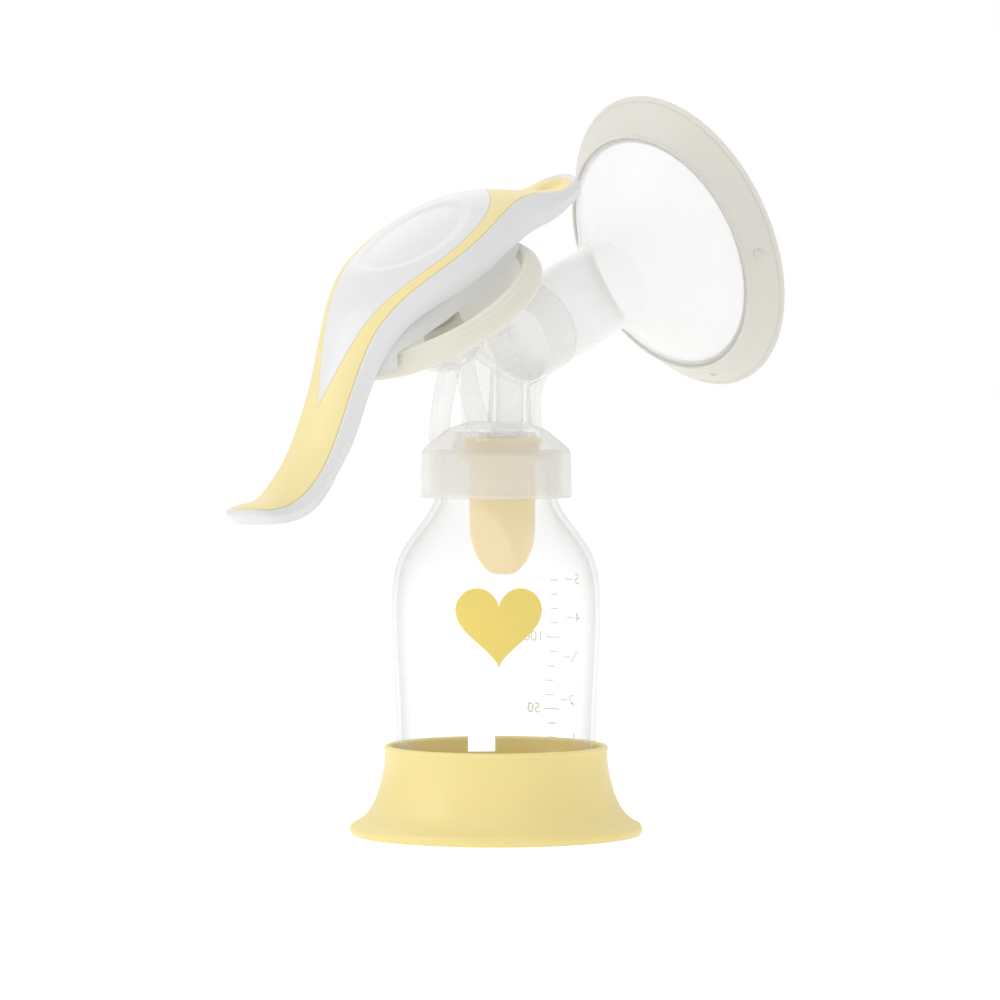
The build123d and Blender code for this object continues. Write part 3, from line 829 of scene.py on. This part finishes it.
def print_on_bottle(name, shapes, material):
    """Wraps flat shapes, each with its angle and height, onto the bottle as one thin skin."""
    whole = bmesh.new()
    for mesh, angle, height in shapes:
        reach = max(abs(v.co.x) for v in mesh.verts)
        tall = max(abs(v.co.y) for v in mesh.verts)
        for normal, extent in (((1, 0, 0), reach), ((0, 1, 0), tall)):
            cuts = int(extent / PRINT_CELL)
            for k in range(-cuts, cuts + 1):
                place = tuple(PRINT_CELL * k * n for n in normal)
                bmesh.ops.bisect_plane(mesh, geom=mesh.verts[:] + mesh.edges[:] + mesh.faces[:],
                                       plane_co=place, plane_no=normal, dist=1e-5)
        bmesh.ops.triangulate(mesh, faces=mesh.faces)
        turn = math.radians(angle)
        kept = {}
        for vertex in mesh.verts:
            z = vertex.co.y + height
            radius = BOTTLE_LINE(z)
            theta = turn + vertex.co.x / radius
            for layer, lift in enumerate((PRINT_LIFT, PRINT_THICKNESS)):
                r = radius + lift
                kept[vertex.index, layer] = whole.verts.new(
                    (r * math.cos(theta) * MM, r * math.sin(theta) * MM, z * MM)
                )
        for face in mesh.faces:
            corners = [v.index for v in face.verts]
            whole.faces.new([kept[i, 1] for i in corners])
            whole.faces.new([kept[i, 0] for i in reversed(corners)])
        for edge in mesh.edges:
            if len(edge.link_faces) == 1:
                a, b = [v.index for v in edge.verts]
                whole.faces.new([kept[a, 0], kept[b, 0], kept[b, 1], kept[a, 1]])
        mesh.free()
    bmesh.ops.recalc_face_normals(whole, faces=whole.faces)
    data = bpy.data.meshes.new(name)
    whole.to_mesh(data)
    whole.free()
    data.materials.append(material)
    piece = bpy.data.objects.new(name, data)
    bpy.context.collection.objects.link(piece)
    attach(piece, "bottle")


def heart(size):
    """Outline of a plain heart, of that half width."""
    points = []
    for k in range(HEART_POINTS):
        a = 2 * math.pi * k / HEART_POINTS
        height = 13 * math.cos(a) - 5 * math.cos(2 * a) - 2 * math.cos(3 * a) - math.cos(4 * a)
        points.append((size * math.sin(a) ** 3, size * height / 16))
    return points


def bar(width, height):
    """Outline of a rectangle round the middle."""
    x, z = width / 2, height / 2
    return [(-x, -z), (x, -z), (x, z), (-x, z)]


def make_prints():
    """The heart on the front of the bottle, and the scale of plain ticks and numerals on its side."""
    mark = [(flat_shape(heart(HEART_SIZE)), *HEART_PLACE)]
    print_on_bottle("bottle_mark", mark, MARK_INK)
    scale = []
    for k in range(TICK_COUNT):
        length = TICK_LENGTH if (k + 1) % LONG_TICK_EVERY else LONG_TICK_LENGTH
        scale.append((flat_shape(bar(length, LINE_WIDTH)), TICK_ANGLE, TICK_START + TICK_STEP * k))
    for words, angle, height in TICK_NUMERALS:
        scale.append((flat_text(words, NUMERAL_SIZE), angle, height))
    for words, height in SECOND_SCALE:
        scale.append((flat_text(words, NUMERAL_SIZE), SECOND_NUMERAL_ANGLE, height))
    for _, height in SECOND_SCALE:
        scale.append((flat_shape(bar(SECOND_TICK_LENGTH, LINE_WIDTH)), SECOND_TICK_ANGLE, height))
    print_on_bottle("bottle_scale", scale, SCALE_INK)


# ---------------------------------------------------------------- the looks, and the scene
WHITE = plastic("white_plastic", (0.76, 0.76, 0.765), 0.3)
YELLOW = plastic("yellow_plastic", (0.86, 0.72, 0.31), 0.36, soft=0.25)
YELLOW_GRIP = plastic("yellow_grip", (0.86, 0.735, 0.36), 0.42)
# painted glow: a faint constant emission lightens the bead where it sits in shade under the handle
SILICONE = painted_glow(plastic("silicone", (0.68, 0.66, 0.58), 0.38, soft=0.3), (0.07, 0.068, 0.06))
# painted glow: a strong constant emission lightens the membrane, which lies in shade inside the ring
SILICONE_WEB = painted_glow(plastic("silicone_web", (0.70, 0.69, 0.66), 0.4, soft=0.2), (0.25, 0.247, 0.237))
# painted glow: a constant emission lightens the valve, which lies in shade inside the cap
SOFT_VALVE = painted_glow(plastic("soft_valve", (0.82, 0.69, 0.42), 0.4, soft=0.5), (0.08, 0.07, 0.045))
# painted glow: a faint constant emission lightens the rim's shaded sides and edges
RIM_SILICONE = painted_glow(
    see_through("soft_rim", (0.71, 0.695, 0.65), 0.42, 0.8, 0.97, power=2.0, soft=0.25), (0.025, 0.024, 0.022)
)
SEAL_RUBBER = plastic("seal_rubber", (0.55, 0.55, 0.53), 0.5)
MARK_INK = plastic("mark_ink", (0.84, 0.66, 0.16), 0.4)
SCALE_INK = plastic("scale_ink", (0.90, 0.88, 0.82), 0.5)
# painted glow: a constant emission lightens the funnel and its tunnel where they fall into shade
FROSTED = painted_glow(
    see_through("frosted_shield", (0.82, 0.82, 0.82), 0.35, 0.25, 0.88, power=2.0, soft=0.2),
    (0.075, 0.075, 0.075),
)
MILKY = see_through("milky_connector", (0.87, 0.865, 0.84), 0.2, 0.16, 0.85, milk=(107, 114, 0.16), soft=0.1)
CLEAR = see_through("clear_plastic", (0.62, 0.62, 0.62), 0.1, 0.03, 0.6, power=3.5)
# painted glow: a constant emission lifts the skirt and its clips out of the shade under the handle
GREY_WHITE = painted_glow(plastic("grey_white_plastic", (0.62, 0.62, 0.615), 0.5), (0.11, 0.11, 0.109))
STEM_PLASTIC = plastic("stem_plastic", (0.74, 0.74, 0.73), 0.4)

make_camera()
make_studio()
make_handle_shell()
make_handle_grip()
make_handle_cover()
make_diaphragm()
make_seal()
make_rim()
make_valve()
make_prints()
paint("stand", YELLOW)
paint("bottle", CLEAR)
paint("connector", MILKY)
paint("breast_shield", FROSTED)
paint("handle_skirt", GREY_WHITE)
paint("stem", STEM_PLASTIC)
